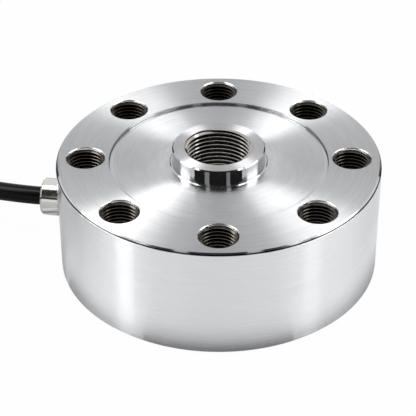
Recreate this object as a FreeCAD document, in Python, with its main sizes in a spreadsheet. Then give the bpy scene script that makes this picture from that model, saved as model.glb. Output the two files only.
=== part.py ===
import FreeCAD, Part
import math
import os

import Sketcher

# Pancake load cell, millimetres, +Z up. The origin is the centre of the underside of the outer ring.
# The load enters at the threaded hub and leaves through the bolted outer ring. Four spokes join the
# two, and each spoke carries a strain gauge on both faces of its thin shear web.

V = FreeCAD.Vector

DRIVING_SIZES = {
    # Outer ring
    "ring_dia": 105.0,
    "ring_height": 38.0,
    "ring_chamfer": 0.8,
    "recess_dia": 71.0,
    "cover_step": 1.0,
    # Cover discs, one above and one below
    "cover_thickness": 1.5,
    "cover_clearance": 0.05,
    "cover_chamfer": 0.2,
    "lip_width": 0.5,
    "lip_height": 0.3,
    # Hub with the load thread
    "hub_dia": 30.0,
    "hub_rise": 4.5,
    "hub_foot_gap": 0.5,
    "hub_chamfer": 0.4,
    "load_thread_dia": 22.0,
    "load_mouth_chamfer": 0.1,
    # Mounting holes in the ring
    "bolt_count": 8,
    "bolt_circle_dia": 86.0,
    "bolt_thread_dia": 12.0,
    "bolt_thread_depth": 13.0,
    "bolt_mouth_dia": 12.9,
    "drill_tip_angle": 118.0,
    # Pockets between the spokes
    "spoke_count": 4,
    "spoke_width": 12.0,
    "hub_wall": 3.5,
    "seat_ledge": 2.0,
    "pocket_corner": 2.5,
    "web_thickness": 5.0,
    "gauge_recess_length": 9.0,
    "gauge_recess_height": 18.0,
    "gauge_recess_corner": 2.0,
    "wire_groove_width": 3.0,
    "wire_groove_depth": 2.5,
    "wire_groove_wall": 5.5,
    # Strain gauges
    "gauge_length": 6.0,
    "gauge_height": 7.0,
    "gauge_film": 0.1,
    "gauge_grid_margin": 0.8,
    "gauge_grid_thickness": 0.05,
    "gauge_tab": 1.2,
    "gauge_tab_thickness": 0.15,
    # Cable gland in the side of the ring, its axis turned a little from the -X direction
    "gland_turn": 8.0,
    "gland_level": 17.6,
    "shank_dia": 8.0,
    "shank_length": 6.0,
    "port_clearance": 0.05,
    "spot_face_dia": 10.0,
    "spot_face_depth": 0.9,
    "washer_thickness": 0.6,
    "neck_length": 5.3,
    "neck_step": 0.05,
    "gland_bore_dia": 6.5,
    "seal_bore_dia": 7.8,
    "seal_length": 3.6,
    "seal_stand_out": 0.3,
    "nut_dia": 12.5,
    "nut_length": 6.3,
    "nut_gap": 0.35,
    "nut_wall": 1.2,
    "nut_chamfer": 0.6,
    "nut_thread_clearance": 0.05,
    "passage_dia": 4.5,
    # Cable
    "cable_dia": 6.2,
    "cable_straight_length": 9.5,
    "jacket_into_gland": 10.0,
    "conductor_dia": 1.1,
    "conductor_spread": 0.8,
    "coil_mean_dia": 69.0,
    "coil_layers_across": 3,
    "coil_layers_up": 5,
    "coil_x": -153.8,
    "coil_y": -16.8,
    "coil_entry_turn": 90.0,
    "coil_stub_length": 24.5,
    "coil_end_turn": -70.0,
    "coil_end_length": 4.0,
    "coil_climb_turn": 25.0,
    # Stripped far end of the cable
    "sleeve_dia": 6.8,
    "sleeve_clearance": 0.05,
    "sleeve_length": 10.0,
    "sleeve_taper": 3.4,
    "sleeve_mouth_dia": 4.4,
    "outer_lead_length": 14.0,
    "outer_lead_drop": 1.6,
    "outer_lead_spread": 3.3,
    "inner_lead_spread": 1.1,
    "bare_wire_dia": 0.6,
    "bare_wire_length": 5.0,
    # Terminal board in the pocket beside the gland
    "board_length": 14.0,
    "board_width": 6.5,
    "board_thickness": 1.2,
    "board_radius": 23.0,
    "board_pad_thickness": 1.0,
    "board_pad_margin": 0.5,
    "solder_dia": 1.8,
    "solder_height": 0.6,
    "solder_pitch": 3.2,
    "solder_edge": 1.2,
    "resistor_dia": 1.8,
    "resistor_waist_dia": 1.5,
    "resistor_cap_length": 1.0,
    "resistor_length": 5.0,
    "resistor_edge": 1.6,
    "resistor_gap": 1.6,
    # Wiring inside
    "inner_lead_straight": 1.0,
    "harness_width": 2.0,
    "harness_thickness": 0.4,
    "harness_gap": 0.05,
    "harness_tail_rise": 3.4,
    "gauge_lead_width": 1.0,
    "gauge_lead_thickness": 0.3,
    "gauge_lead_clearance": 0.5,
    "gauge_lead_rise": 1.6,
}

FORMULAS = {
    "ring_radius": "ring_dia / 2",
    "recess_radius": "recess_dia / 2",
    "hub_radius": "hub_dia / 2",
    "bore_radius": "load_thread_dia / 2",
    "seat_level": "cover_step + cover_thickness",
    "top_seat_level": "ring_height - seat_level",
    "middle_level": "ring_height / 2",
    "hub_top": "ring_height + hub_rise",
    "pocket_inner": "hub_radius + hub_wall",
    "pocket_outer": "recess_radius - seat_ledge",
    "half_spoke": "spoke_width / 2",
    "half_web": "web_thickness / 2",
    "recess_middle": "(pocket_inner + pocket_outer) / 2",
    "groove_outer": "recess_radius - wire_groove_wall",
    "groove_inner": "groove_outer - wire_groove_width",
    "groove_top": "seat_level + wire_groove_depth",
    "cover_outer": "recess_radius - cover_clearance",
    "cover_inner": "hub_radius + cover_clearance",
    "shank_radius": "shank_dia / 2",
    "port_radius": "shank_radius + port_clearance",
    "spot_face": "ring_radius - spot_face_depth",
    "port_floor": "neck_root - washer_thickness - shank_length",
    "neck_root": "spot_face + washer_thickness",
    "neck_radius": "spot_face_dia / 2 - neck_step",
    "neck_end": "neck_root + neck_length",
    "shank_end": "neck_root - shank_length",
    "seal_root": "neck_end - seal_length",
    "seal_end": "neck_end + seal_stand_out",
    "nut_root": "ring_radius + nut_gap",
    "nut_end": "nut_root + nut_length",
    "nut_shoulder": "nut_end - nut_wall",
    "nut_bore_radius": "neck_radius + nut_thread_clearance",
    "gland_bore_radius": "gland_bore_dia / 2",
    "cable_radius": "cable_dia / 2",
    "jacket_end": "nut_end - jacket_into_gland",
    "board_level": "seat_level + board_pad_thickness",
    "board_top": "board_level + board_thickness",
    "solder_top": "board_top + solder_height",
    "solder_radius": "board_radius + board_width / 2 - solder_edge",
    "resistor_radius": "board_radius - board_width / 2 + resistor_edge",
    "harness_radius": "(groove_inner + groove_outer) / 2",
    "harness_top": "seat_level + harness_gap + harness_thickness",
    "gauge_face": "half_web + gauge_film",
    "coil_outer_turn": "coil_mean_dia / 2 + (coil_layers_across - 1) * cable_radius",
    "coil_inner": "(coil_mean_dia - coil_layers_across * cable_dia) / 2",
    "coil_outer": "(coil_mean_dia + coil_layers_across * cable_dia) / 2",
    "coil_height": "coil_layers_up * cable_dia",
}

SPARE = 2.0  # how far a cutting profile runs past the face that it opens


doc = FreeCAD.newDocument("PancakeLoadCell")


def make_sheet():
    sheet = doc.addObject("Spreadsheet::Sheet", "Sizes")
    row = 1
    for name, value in DRIVING_SIZES.items():
        sheet.set(f"A{row}", name)
        sheet.set(f"B{row}", str(value))
        sheet.setAlias(f"B{row}", name)
        row += 1
    for name, formula in FORMULAS.items():
        sheet.set(f"A{row}", name)
        sheet.set(f"B{row}", "=" + formula)
        sheet.setAlias(f"B{row}", name)
        row += 1
    doc.recompute()
    return sheet


sheet = make_sheet()


class Sizes:
    """Reads a size from the sheet by its name."""

    def __getattr__(self, name):
        return float(sheet.get(name))


size = Sizes()


def bound(words):
    """A formula in the names of the sheet, written as an expression on the sheet."""
    names = sorted(list(DRIVING_SIZES) + list(FORMULAS), key=len, reverse=True)
    marked = " " + words + " "
    for number, name in enumerate(names):
        for mark in " (-":
            for end in " )":
                marked = marked.replace(mark + name + end, f"{mark}@{number}@{end}")
    for number, name in enumerate(names):
        marked = marked.replace(f"@{number}@", "Sizes." + name)
    return marked.strip()


def value_of(words):
    """The number that a formula in the names of the sheet comes to."""
    return float(sheet.evalExpression(bound(words)))


def turned(sign):
    return "-" if sign == "+" else "+"


# Sketch helpers


def origin_feature(body, role):
    """One of a body's own origin planes or axes."""
    for feature in body.Origin.OriginFeatures:
        if feature.Role == role:
            return feature
    raise ValueError(role)


def new_body(name):
    body = doc.addObject("PartDesign::Body", name)
    body.Label = name
    return body


def new_sketch(body, name, role):
    sketch = body.newObject("Sketcher::SketchObject", name)
    sketch.AttachmentSupport = [(origin_feature(body, role), "")]
    sketch.MapMode = "FlatFace"
    return sketch


def lift_sketch(sketch, level):
    sketch.setExpression(".AttachmentOffset.Base.z", bound(level))


def place_point(sketch, item, end, across, up):
    """Ties one end of a sketch item to two formulas measured from the sketch's origin."""
    if across == "0":
        sketch.addConstraint(Sketcher.Constraint("PointOnObject", item, end, -2))
    else:
        at = sketch.addConstraint(
            Sketcher.Constraint("DistanceX", -1, 1, item, end, value_of(across))
        )
        sketch.setExpression(f"Constraints[{at}]", bound(across))
    if up == "0":
        sketch.addConstraint(Sketcher.Constraint("PointOnObject", item, end, -1))
    else:
        at = sketch.addConstraint(
            Sketcher.Constraint("DistanceY", -1, 1, item, end, value_of(up))
        )
        sketch.setExpression(f"Constraints[{at}]", bound(up))


def draw_outline(sketch, corners):
    """A closed outline of straight lines, each corner given as two formulas."""
    points = [V(value_of(across), value_of(up), 0) for across, up in corners]
    first = sketch.GeometryCount
    count = len(points)
    for index in range(count):
        sketch.addGeometry(Part.LineSegment(points[index], points[(index + 1) % count]))
    for index in range(count):
        following = first + (index + 1) % count
        sketch.addConstraint(Sketcher.Constraint("Coincident", first + index, 2, following, 1))
    for index, (across, up) in enumerate(corners):
        place_point(sketch, first + index, 1, across, up)


def draw_circle(sketch, across, up, radius):
    centre = V(value_of(across), value_of(up), 0)
    item = sketch.addGeometry(Part.Circle(centre, V(0, 0, 1), value_of(radius)))
    if across == "0" and up == "0":
        sketch.addConstraint(Sketcher.Constraint("Coincident", item, 3, -1, 1))
    else:
        place_point(sketch, item, 3, across, up)
    at = sketch.addConstraint(Sketcher.Constraint("Radius", item, value_of(radius)))
    sketch.setExpression(f"Constraints[{at}]", bound(radius))


def turned_feature(body, kind, name, sketch, axis):
    """A Revolution or a Groove of a sketch, once round one of the sketch's own axes."""
    feature = body.newObject("PartDesign::" + kind, name)
    feature.Profile = sketch
    feature.ReferenceAxis = (sketch, [axis])
    feature.Angle = 360
    return feature


def polar_pattern(body, name, originals, count):
    pattern = body.newObject("PartDesign::PolarPattern", name)
    pattern.Originals = originals
    pattern.Axis = (origin_feature(body, "Z_Axis"), [""])
    pattern.Angle = 360
    pattern.setExpression("Occurrences", bound(count))
    body.Tip = pattern
    return pattern


def edge_names(shape, test):
    return [f"Edge{index + 1}" for index, edge in enumerate(shape.Edges) if test(edge)]


def is_straight(edge):
    return len(edge.Vertexes) == 2 and edge.Curve.TypeId == "Part::GeomLine"


def direction_of(edge):
    return (edge.Vertexes[1].Point - edge.Vertexes[0].Point).normalize()


def round_edges(body, name, base, test, radius):
    """Rounds the edges of a feature that pass a test of their geometry."""
    doc.recompute()
    fillet = body.newObject("PartDesign::Fillet", name)
    fillet.Base = (base, edge_names(base.Shape, test))
    fillet.setExpression("Radius", bound(radius))
    body.Tip = fillet
    return fillet


def turned_piece(name, corners, plane="XZ_Plane", axis="V_Axis"):
    """A sub-part turned from one outline of radius and level."""
    body = new_body(name)
    sketch = new_sketch(body, name + "_profile", plane)
    draw_outline(sketch, corners)
    turned_feature(body, "Revolution", name + "_turned", sketch, axis)
    return body


# The load element


def draw_pocket(sketch):
    """The kidney between two spokes: two arcs round the cell's centre and the two spoke sides."""
    half_turn = math.radians(180.0 / size.spoke_count)
    corners = []
    for radius in (size.pocket_inner, size.pocket_outer):
        reach = half_turn - math.asin(size.half_spoke / radius)
        corners.append((radius, reach))
    (inner, inner_reach), (outer, outer_reach) = corners

    def at(radius, angle):
        return V(radius * math.cos(angle), radius * math.sin(angle), 0)

    circle_in = Part.Circle(V(0, 0, 0), V(0, 0, 1), inner)
    circle_out = Part.Circle(V(0, 0, 0), V(0, 0, 1), outer)
    inner_arc = sketch.addGeometry(Part.ArcOfCircle(circle_in, -inner_reach, inner_reach))
    outer_arc = sketch.addGeometry(Part.ArcOfCircle(circle_out, -outer_reach, outer_reach))
    upper = sketch.addGeometry(Part.LineSegment(at(inner, inner_reach), at(outer, outer_reach)))
    lower = sketch.addGeometry(Part.LineSegment(at(inner, -inner_reach), at(outer, -outer_reach)))
    joins = [
        (inner_arc, 1, lower, 1),
        (inner_arc, 2, upper, 1),
        (outer_arc, 1, lower, 2),
        (outer_arc, 2, upper, 2),
    ]
    for join in joins:
        sketch.addConstraint(Sketcher.Constraint("Coincident", *join))
    for arc, radius in ((inner_arc, "pocket_inner"), (outer_arc, "pocket_outer")):
        sketch.addConstraint(Sketcher.Constraint("Coincident", arc, 3, -1, 1))
        at_radius = sketch.addConstraint(Sketcher.Constraint("Radius", arc, value_of(radius)))
        sketch.setExpression(f"Constraints[{at_radius}]", bound(radius))
    for line, side in ((upper, 1), (lower, -1)):
        away = sketch.addConstraint(
            Sketcher.Constraint("Distance", -1, 1, line, size.half_spoke)
        )
        sketch.setExpression(f"Constraints[{away}]", bound("half_spoke"))
        slope = sketch.addConstraint(Sketcher.Constraint("Angle", -1, 1, line, 1, side * half_turn))
        sketch.setExpression(f"Constraints[{slope}]", f"{side} * 180 deg / Sizes.spoke_count")


def make_load_element():
    body = new_body("load_element")
    # The turned form: ring, cover seats, hub, load bore and the wire groove under the spokes
    sketch = new_sketch(body, "element_profile", "XZ_Plane")
    draw_outline(
        sketch,
        [
            ("bore_radius + load_mouth_chamfer", "hub_foot_gap"),
            ("hub_radius - hub_chamfer", "hub_foot_gap"),
            ("hub_radius", "hub_foot_gap + hub_chamfer"),
            ("hub_radius", "seat_level"),
            ("groove_inner", "seat_level"),
            ("groove_inner", "groove_top"),
            ("groove_outer", "groove_top"),
            ("groove_outer", "seat_level"),
            ("recess_radius", "seat_level"),
            ("recess_radius", "0"),
            ("ring_radius - ring_chamfer", "0"),
            ("ring_radius", "ring_chamfer"),
            ("ring_radius", "ring_height - ring_chamfer"),
            ("ring_radius - ring_chamfer", "ring_height"),
            ("recess_radius", "ring_height"),
            ("recess_radius", "top_seat_level"),
            ("hub_radius", "top_seat_level"),
            ("hub_radius", "hub_top - hub_chamfer"),
            ("hub_radius - hub_chamfer", "hub_top"),
            ("bore_radius + load_mouth_chamfer", "hub_top"),
            ("bore_radius", "hub_top - load_mouth_chamfer"),
            ("bore_radius", "hub_foot_gap + load_mouth_chamfer"),
        ],
    )
    turned_feature(body, "Revolution", "element_turned", sketch, "V_Axis")

    # Pockets that leave the spokes standing between the hub and the ring
    sketch = new_sketch(body, "pocket_outline", "XY_Plane")
    draw_pocket(sketch)
    pocket = body.newObject("PartDesign::Pocket", "spoke_pocket")
    pocket.Profile = sketch
    pocket.Reversed = True
    pocket.setExpression("Length", bound("ring_height"))
    pockets = polar_pattern(body, "spoke_pockets", [pocket], "spoke_count")

    def is_pocket_corner(edge):
        if not is_straight(edge) or abs(direction_of(edge).z) < 0.99:
            return False
        radius = math.hypot(edge.Vertexes[0].X, edge.Vertexes[0].Y)
        return min(abs(radius - size.pocket_inner), abs(radius - size.pocket_outer)) < 0.01

    rounded = round_edges(body, "pocket_corners", pockets, is_pocket_corner, "pocket_corner")

    # A recess in both faces of each spoke, which leaves the shear web that the gauges measure
    sketch = new_sketch(body, "gauge_recess_outline", "XY_Plane")
    lift_sketch(sketch, "middle_level")
    sketch.setExpression(".AttachmentOffset.Rotation.Angle", "180 deg / Sizes.spoke_count")
    near = "recess_middle - gauge_recess_length / 2"
    far = "recess_middle + gauge_recess_length / 2"
    for sign in ("", "-"):
        draw_outline(
            sketch,
            [
                (near, sign + "half_web"),
                (far, sign + "half_web"),
                (far, sign + "half_spoke" + f" {sign or '+'} {SPARE}"),
                (near, sign + "half_spoke" + f" {sign or '+'} {SPARE}"),
            ],
        )
    recess = body.newObject("PartDesign::Pocket", "gauge_recess")
    recess.Profile = sketch
    recess.Midplane = True
    recess.setExpression("Length", bound("gauge_recess_height"))
    recesses = polar_pattern(body, "gauge_recesses", [recess], "spoke_count")

    def is_recess_corner(edge):
        if not is_straight(edge) or abs(direction_of(edge).z) > 0.01:
            return False
        middle = edge.CenterOfMass
        off = abs(abs(middle.z - size.middle_level) - size.gauge_recess_height / 2)
        depth = size.half_spoke - size.half_web
        inside = math.hypot(middle.x, middle.y) < size.pocket_outer
        return off < 0.01 and inside and abs(edge.Length - depth) < 0.01

    round_edges(body, "recess_corners", recesses, is_recess_corner, "gauge_recess_corner")

    # The gland's port: spot face, threaded bore and the passage for the conductors
    sketch = new_sketch(body, "port_profile", "XY_Plane")
    lift_sketch(sketch, "gland_level")
    sketch.setExpression(".AttachmentOffset.Rotation.Angle", "180 deg - Sizes.gland_turn * 1 deg")
    draw_outline(
        sketch,
        [
            ("recess_middle", "0"),
            (f"ring_radius + {SPARE}", "0"),
            (f"ring_radius + {SPARE}", "spot_face_dia / 2"),
            ("spot_face", "spot_face_dia / 2"),
            ("spot_face", "port_radius"),
            ("port_floor", "port_radius"),
            ("port_floor", "passage_dia / 2"),
            ("recess_middle", "passage_dia / 2"),
        ],
    )
    turned_feature(body, "Groove", "gland_port", sketch, "H_Axis")

    # Mounting holes, drilled blind so that they stay clear of the gland's port
    doc.recompute()
    sketch = new_sketch(body, "bolt_place", "XY_Plane")
    lift_sketch(sketch, "ring_height")
    draw_circle(sketch, "bolt_circle_dia / 2", "0", "bolt_thread_dia / 2")
    doc.recompute()
    hole = body.newObject("PartDesign::Hole", "mounting_hole")
    hole.Profile = sketch
    hole.Threaded = False
    hole.ThreadType = "None"
    hole.setExpression("Diameter", bound("bolt_thread_dia"))
    hole.DepthType = "Dimension"
    hole.setExpression("Depth", bound("bolt_thread_depth"))
    hole.DrillPoint = "Angled"
    hole.setExpression("DrillPointAngle", bound("drill_tip_angle"))
    hole.DrillForDepth = False
    hole.HoleCutType = "Countersink"
    hole.HoleCutCountersinkAngle = 90
    hole.setExpression("HoleCutDiameter", bound("bolt_mouth_dia"))
    polar_pattern(body, "mounting_holes", [hole], "bolt_count")
    return body


# Cover discs


def make_cover(name, seat, outward):
    """A disc from its seat outwards, with a low lip round the hub where it is welded."""
    face = f"{seat} {outward} cover_thickness"
    return turned_piece(
        name,
        [
            ("cover_inner", seat),
            ("cover_outer", seat),
            ("cover_outer", f"{face} {turned(outward)} cover_chamfer"),
            ("cover_outer - cover_chamfer", face),
            ("cover_inner + lip_width + lip_height", face),
            ("cover_inner + lip_width", f"{face} {outward} lip_height"),
            ("cover_inner", f"{face} {outward} lip_height"),
        ],
    )


# Gland pieces, drawn along their own axis and then laid in the port


def lay_in_port(piece):
    """Turns a piece drawn along its own Z axis until it points out of the port."""
    turn = math.radians(size.gland_turn)
    outward = V(-math.cos(turn), math.sin(turn), 0)
    piece.Placement = FreeCAD.Placement(
        V(0, 0, size.gland_level), FreeCAD.Rotation(V(0, 0, 1), outward)
    )
    return piece


def make_gland():
    body = turned_piece(
        "gland_body",
        [
            ("gland_bore_radius", "shank_end"),
            ("shank_radius", "shank_end"),
            ("shank_radius", "neck_root"),
            ("neck_radius", "neck_root"),
            ("neck_radius", "neck_end"),
            ("seal_bore_dia / 2", "neck_end"),
            ("seal_bore_dia / 2", "seal_root"),
            ("gland_bore_radius", "seal_root"),
        ],
    )
    washer = turned_piece(
        "gland_washer",
        [
            ("port_radius", "spot_face"),
            ("neck_radius", "spot_face"),
            ("neck_radius", "neck_root"),
            ("port_radius", "neck_root"),
        ],
    )
    seal = turned_piece(
        "gland_seal",
        [
            ("cable_radius", "seal_root"),
            ("seal_bore_dia / 2", "seal_root"),
            ("seal_bore_dia / 2", "seal_end"),
            ("cable_radius", "seal_end"),
        ],
    )
    nut = turned_piece(
        "gland_nut",
        [
            ("nut_bore_radius", "nut_root"),
            ("nut_dia / 2 - nut_chamfer / 2", "nut_root"),
            ("nut_dia / 2", "nut_root + nut_chamfer / 2"),
            ("nut_dia / 2", "nut_end - nut_chamfer"),
            ("nut_dia / 2 - nut_chamfer", "nut_end"),
            ("gland_bore_radius", "nut_end"),
            ("gland_bore_radius", "nut_shoulder"),
            ("nut_bore_radius", "nut_shoulder"),
        ],
    )
    jacket = turned_piece(
        "cable_in_gland",
        [
            ("0", "jacket_end"),
            ("cable_radius", "jacket_end"),
            ("cable_radius", "nut_end"),
            ("0", "nut_end"),
        ],
    )
    return [lay_in_port(piece) for piece in (body, washer, seal, nut, jacket)]


# Pieces whose shape comes from a path


def tube_along(points, radius):
    """A round tube of straight runs joined by tangent arcs, each as large as its runs allow."""
    heading = (points[1] - points[0]).normalize()
    disc = Part.Face(Part.Wire(Part.Circle(points[0], heading, radius).toShape()))
    pieces = []
    radii = []
    length = 0.0
    start = points[0]
    for before, corner, after in zip(points, points[1:], points[2:]):
        setback = 0.45 * min((before - corner).Length, (after - corner).Length)
        back = (before - corner).normalize()
        onward = (after - corner).normalize()
        half_turn = (math.pi - back.getAngle(onward)) / 2
        bend = setback / math.tan(half_turn)
        enter = corner + back * setback
        centre = corner + (back + onward).normalize() * (bend / math.cos(half_turn))
        straight = disc.extrude(enter - start)
        disc.translate(enter - start)
        axis = onward.cross(back)
        turn = math.degrees(2 * half_turn)
        arc = disc.revolve(centre, axis, turn)
        disc.rotate(centre, axis, turn)
        pieces += [straight, arc]
        radii.append(bend)
        length += (enter - start).Length + bend * 2 * half_turn
        start = corner + onward * setback
    pieces.append(disc.extrude(points[-1] - start))
    length += (points[-1] - start).Length
    return pieces[0].fuse(pieces[1:]).removeSplitter(), length, radii


def bent_wire(points, section):
    """A thin wire of straight runs with mitred corners, from a closed section at its start."""
    path = Part.makePolygon(points)
    return path.makePipeShell([section], True, False, 1)


def round_section(points, radius):
    return Part.Wire(Part.Circle(points[0], points[1] - points[0], radius).toShape())


def ribbon_section(points, flat, wide, thick):
    """A rectangle across the wire's start, its wide side along the direction given."""
    across = flat * (wide / 2)
    up = (points[1] - points[0]).normalize().cross(flat) * (thick / 2)
    start = points[0]
    corners = [start + across + up, start - across + up, start - across - up, start + across - up]
    return Part.makePolygon(corners + corners[:1])


def shaped_piece(name, shape):
    piece = doc.addObject("Part::Feature", name)
    piece.Label = name
    piece.Shape = shape
    return piece


def port_point(along, aside, above):
    """A point given along the gland's axis, beside it and above it."""
    turn = math.radians(size.gland_turn)
    outward = V(-math.cos(turn), math.sin(turn), 0)
    sideways = V(math.sin(turn), math.cos(turn), 0)
    return outward * along + sideways * aside + V(0, 0, size.gland_level + above)


# Cable


# The cable's bends on its way down from the gland to the surface that the cell stands on
CABLE_BENDS = [
    V(-85.8, 16.0, 16.6),
    V(-105.3, 23.9, 3.1),
]
CORE_COLOURS = ["red", "black", "green", "white"]
CORE_PLACES = [(-1, 1), (-1, -1), (1, -1), (1, 1)]


def round_the_coil(radius, turn, level):
    """A point on a turn of the coil, and the way the cable heads there."""
    angle = math.radians(turn)
    centre = V(size.coil_x, size.coil_y, level)
    point = centre + V(radius * math.cos(angle), radius * math.sin(angle), 0)
    return point, V(-math.sin(angle), math.cos(angle), 0)


def make_cable_run():
    touch, heading = round_the_coil(
        size.coil_outer_turn, size.coil_entry_turn, size.cable_radius
    )
    route = [
        port_point(size.nut_end, 0, 0),
        port_point(size.nut_end + size.cable_straight_length, 0, 0),
    ]
    route += CABLE_BENDS
    route.append(touch - heading * size.coil_stub_length)
    tube, length, radii = tube_along(route, size.cable_radius)
    section = math.pi * size.cable_radius**2
    print("cable run", round(length, 1), "mm, radii", [round(radius, 1) for radius in radii])
    print("volume over section times length", round(tube.Volume / section / length, 4))
    return shaped_piece("cable_run", tube)


def cable_end():
    """Where the last stretch of the cable starts to run straight across the top of the turns."""
    level = size.coil_height + size.sleeve_dia / 2 + size.sleeve_clearance
    return round_the_coil(size.coil_inner + size.cable_radius, size.coil_end_turn, level)


def make_coil():
    """The outer shape of the turns, with the stretch that enters them and the one that leaves."""
    centre = V(size.coil_x, size.coil_y, 0)
    wide = Part.makeCylinder(size.coil_outer, size.coil_height, centre)
    ring = wide.cut(Part.makeCylinder(size.coil_inner, size.coil_height, centre))
    rims = [edge for edge in ring.Edges if edge.isClosed()]
    ring = ring.makeChamfer(size.cable_radius / 2, rims)
    touch, heading = round_the_coil(
        size.coil_outer_turn, size.coil_entry_turn, size.cable_radius
    )
    entry = touch - heading * size.coil_stub_length
    entering = Part.makeCylinder(size.cable_radius, size.coil_stub_length, entry, heading)
    start, heading = cable_end()
    leaving = Part.makeCylinder(size.cable_radius, size.coil_end_length, start, heading)
    foot, _ = round_the_coil(
        size.coil_inner + size.cable_radius,
        size.coil_end_turn - size.coil_climb_turn,
        size.coil_height - size.cable_radius,
    )
    climb = start + heading - foot
    climbing = Part.makeCylinder(size.cable_radius, climb.Length, foot, climb)
    return shaped_piece("cable_coil", ring.fuse([entering, climbing, leaving]))


def make_outer_leads():
    """The heat-shrunk sleeve on the cable's far end, and the stripped conductors from it."""
    start, heading = cable_end()
    start = start + heading * size.coil_end_length
    sleeve = turned_piece(
        "end_sleeve",
        [
            ("0", "0"),
            ("sleeve_dia / 2", "0"),
            ("sleeve_dia / 2", "sleeve_length - sleeve_taper"),
            ("sleeve_mouth_dia / 2", "sleeve_length"),
            ("0", "sleeve_length"),
        ],
    )
    sleeve.Placement = FreeCAD.Placement(start, FreeCAD.Rotation(V(0, 0, 1), heading))
    pieces = [sleeve]
    mouth = start + heading * size.sleeve_length
    aside = V(0, 0, 1).cross(heading)
    for colour, (side, rise) in zip(CORE_COLOURS, CORE_PLACES):
        fan = side * (size.outer_lead_spread if rise > 0 else size.inner_lead_spread)
        drop = size.outer_lead_drop + rise * size.conductor_spread
        near = mouth + aside * side * size.conductor_spread
        near = near + V(0, 0, rise * size.conductor_spread)
        # Three equal stretches: straight on, fanning out and down, and straight again
        step = heading * (size.outer_lead_length / 3)
        fanned = near + aside * fan - V(0, 0, drop)
        route = [near, near + step, fanned + step * 2, fanned + step * 3]
        lead = bent_wire(route, round_section(route, size.conductor_dia / 2))
        way = (route[3] - route[2]).normalize()
        bare = Part.makeCylinder(size.bare_wire_dia / 2, size.bare_wire_length, route[3], way)
        pieces.append(shaped_piece("outer_lead_" + colour, lead.fuse(bare)))
    return pieces


# Strain gauges on the webs


def bound_box(name, length, width, height, corner):
    box = doc.addObject("Part::Box", name)
    for side, formula in zip(("Length", "Width", "Height"), (length, width, height)):
        box.setExpression(side, bound(formula))
    for axis, formula in zip("xyz", corner):
        box.setExpression(f".Placement.Base.{axis}", bound(formula))
    return box


def make_strain_gauge(number, spoke, side):
    """A foil grid on a film, with two solder tabs, bonded to one face of a spoke's web."""
    name = f"strain_gauge_{number}"
    low = "middle_level - gauge_height / 2"
    grid_height = "(gauge_height - 2 * gauge_grid_margin - gauge_tab)"
    layers = [
        bound_box(
            name + "_film",
            "gauge_length",
            "gauge_film",
            "gauge_height",
            ("recess_middle - gauge_length / 2", "half_web", low),
        ),
        bound_box(
            name + "_grid",
            "gauge_length - 2 * gauge_grid_margin",
            "gauge_grid_thickness",
            grid_height,
            (
                "recess_middle - gauge_length / 2 + gauge_grid_margin",
                "gauge_face",
                "middle_level + gauge_height / 2 - gauge_grid_margin - " + grid_height,
            ),
        ),
    ]
    for end, place in (("inner", "-"), ("outer", "+")):
        middle = f"recess_middle {place} gauge_length / 4"
        layers.append(
            bound_box(
                f"{name}_{end}_tab",
                "gauge_tab",
                "gauge_tab_thickness",
                "gauge_tab",
                (f"{middle} - gauge_tab / 2", "gauge_face", low),
            )
        )
    gauge = doc.addObject("Part::MultiFuse", name)
    gauge.Shapes = layers
    angle = (spoke + 0.5) * 360.0 / size.spoke_count
    turn = FreeCAD.Rotation(V(0, 0, 1), angle)
    flip = FreeCAD.Rotation(V(1, 0, 0), 0 if side > 0 else 180)
    settle = V(0, 0, 0 if side > 0 else size.ring_height)
    gauge.Placement = FreeCAD.Placement(settle, turn.multiply(flip))
    return gauge


def make_strain_gauges():
    gauges = []
    for spoke in range(int(size.spoke_count)):
        for side in (1, -1):
            gauges.append(make_strain_gauge(len(gauges) + 1, spoke, side))
    return gauges


def make_gauge_leads():
    """A flat ribbon lead from each gauge, over the edge of its recess and down to the harness."""
    half_thick = size.gauge_lead_thickness / 2
    tab = size.recess_middle + size.gauge_length / 4
    close = size.gauge_face + size.gauge_tab_thickness + half_thick
    clear = size.half_spoke + size.gauge_lead_clearance + half_thick
    over = math.sqrt(size.harness_radius**2 - clear**2)
    sill = size.middle_level - size.gauge_recess_height / 2
    leads = []
    for spoke in range(int(size.spoke_count)):
        turn = FreeCAD.Rotation(V(0, 0, 1), (spoke + 0.5) * 360.0 / size.spoke_count)
        for side in (1, -1):
            # The gauge on the other face is turned over, so its tabs are at the top
            level = size.middle_level - side * (size.gauge_height - size.gauge_tab) / 2
            route = [
                V(tab, side * close, level),
                V(tab, side * close, sill + 2 * size.gauge_lead_rise),
                V(over, side * clear, sill + size.gauge_lead_rise),
                V(over, side * clear, size.harness_top),
            ]
            route = [turn.multVec(point) for point in route]
            flat = turn.multVec(V(1, 0, 0))
            section = ribbon_section(
                route, flat, size.gauge_lead_width, size.gauge_lead_thickness
            )
            leads.append(bent_wire(route, section))
    return shaped_piece("gauge_leads", Part.makeCompound(leads))


def make_harness():
    """The ribbon ring that joins the gauges, in the groove under the spokes, and its tail."""
    ring = turned_piece(
        "harness_ring",
        [
            ("harness_radius - harness_width / 2", "seat_level + harness_gap"),
            ("harness_radius + harness_width / 2", "seat_level + harness_gap"),
            ("harness_radius + harness_width / 2", "harness_top"),
            ("harness_radius - harness_width / 2", "harness_top"),
        ],
    )
    top = size.harness_top
    route = [
        V(-size.harness_radius, 0, top),
        V(-size.harness_radius, 0, top + size.harness_tail_rise),
        V(-size.board_radius, 0, top + size.harness_tail_rise),
        V(-size.board_radius, 0, size.board_top),
    ]
    flat = V(0, 1, 0)
    section = ribbon_section(route, flat, size.harness_width, size.harness_thickness)
    return [ring, shaped_piece("harness_tail", bent_wire(route, section))]


# Terminal board


def solder_places():
    rows = len(CORE_COLOURS)
    return [(index - (rows - 1) / 2) * size.solder_pitch for index in range(rows)]


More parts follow.
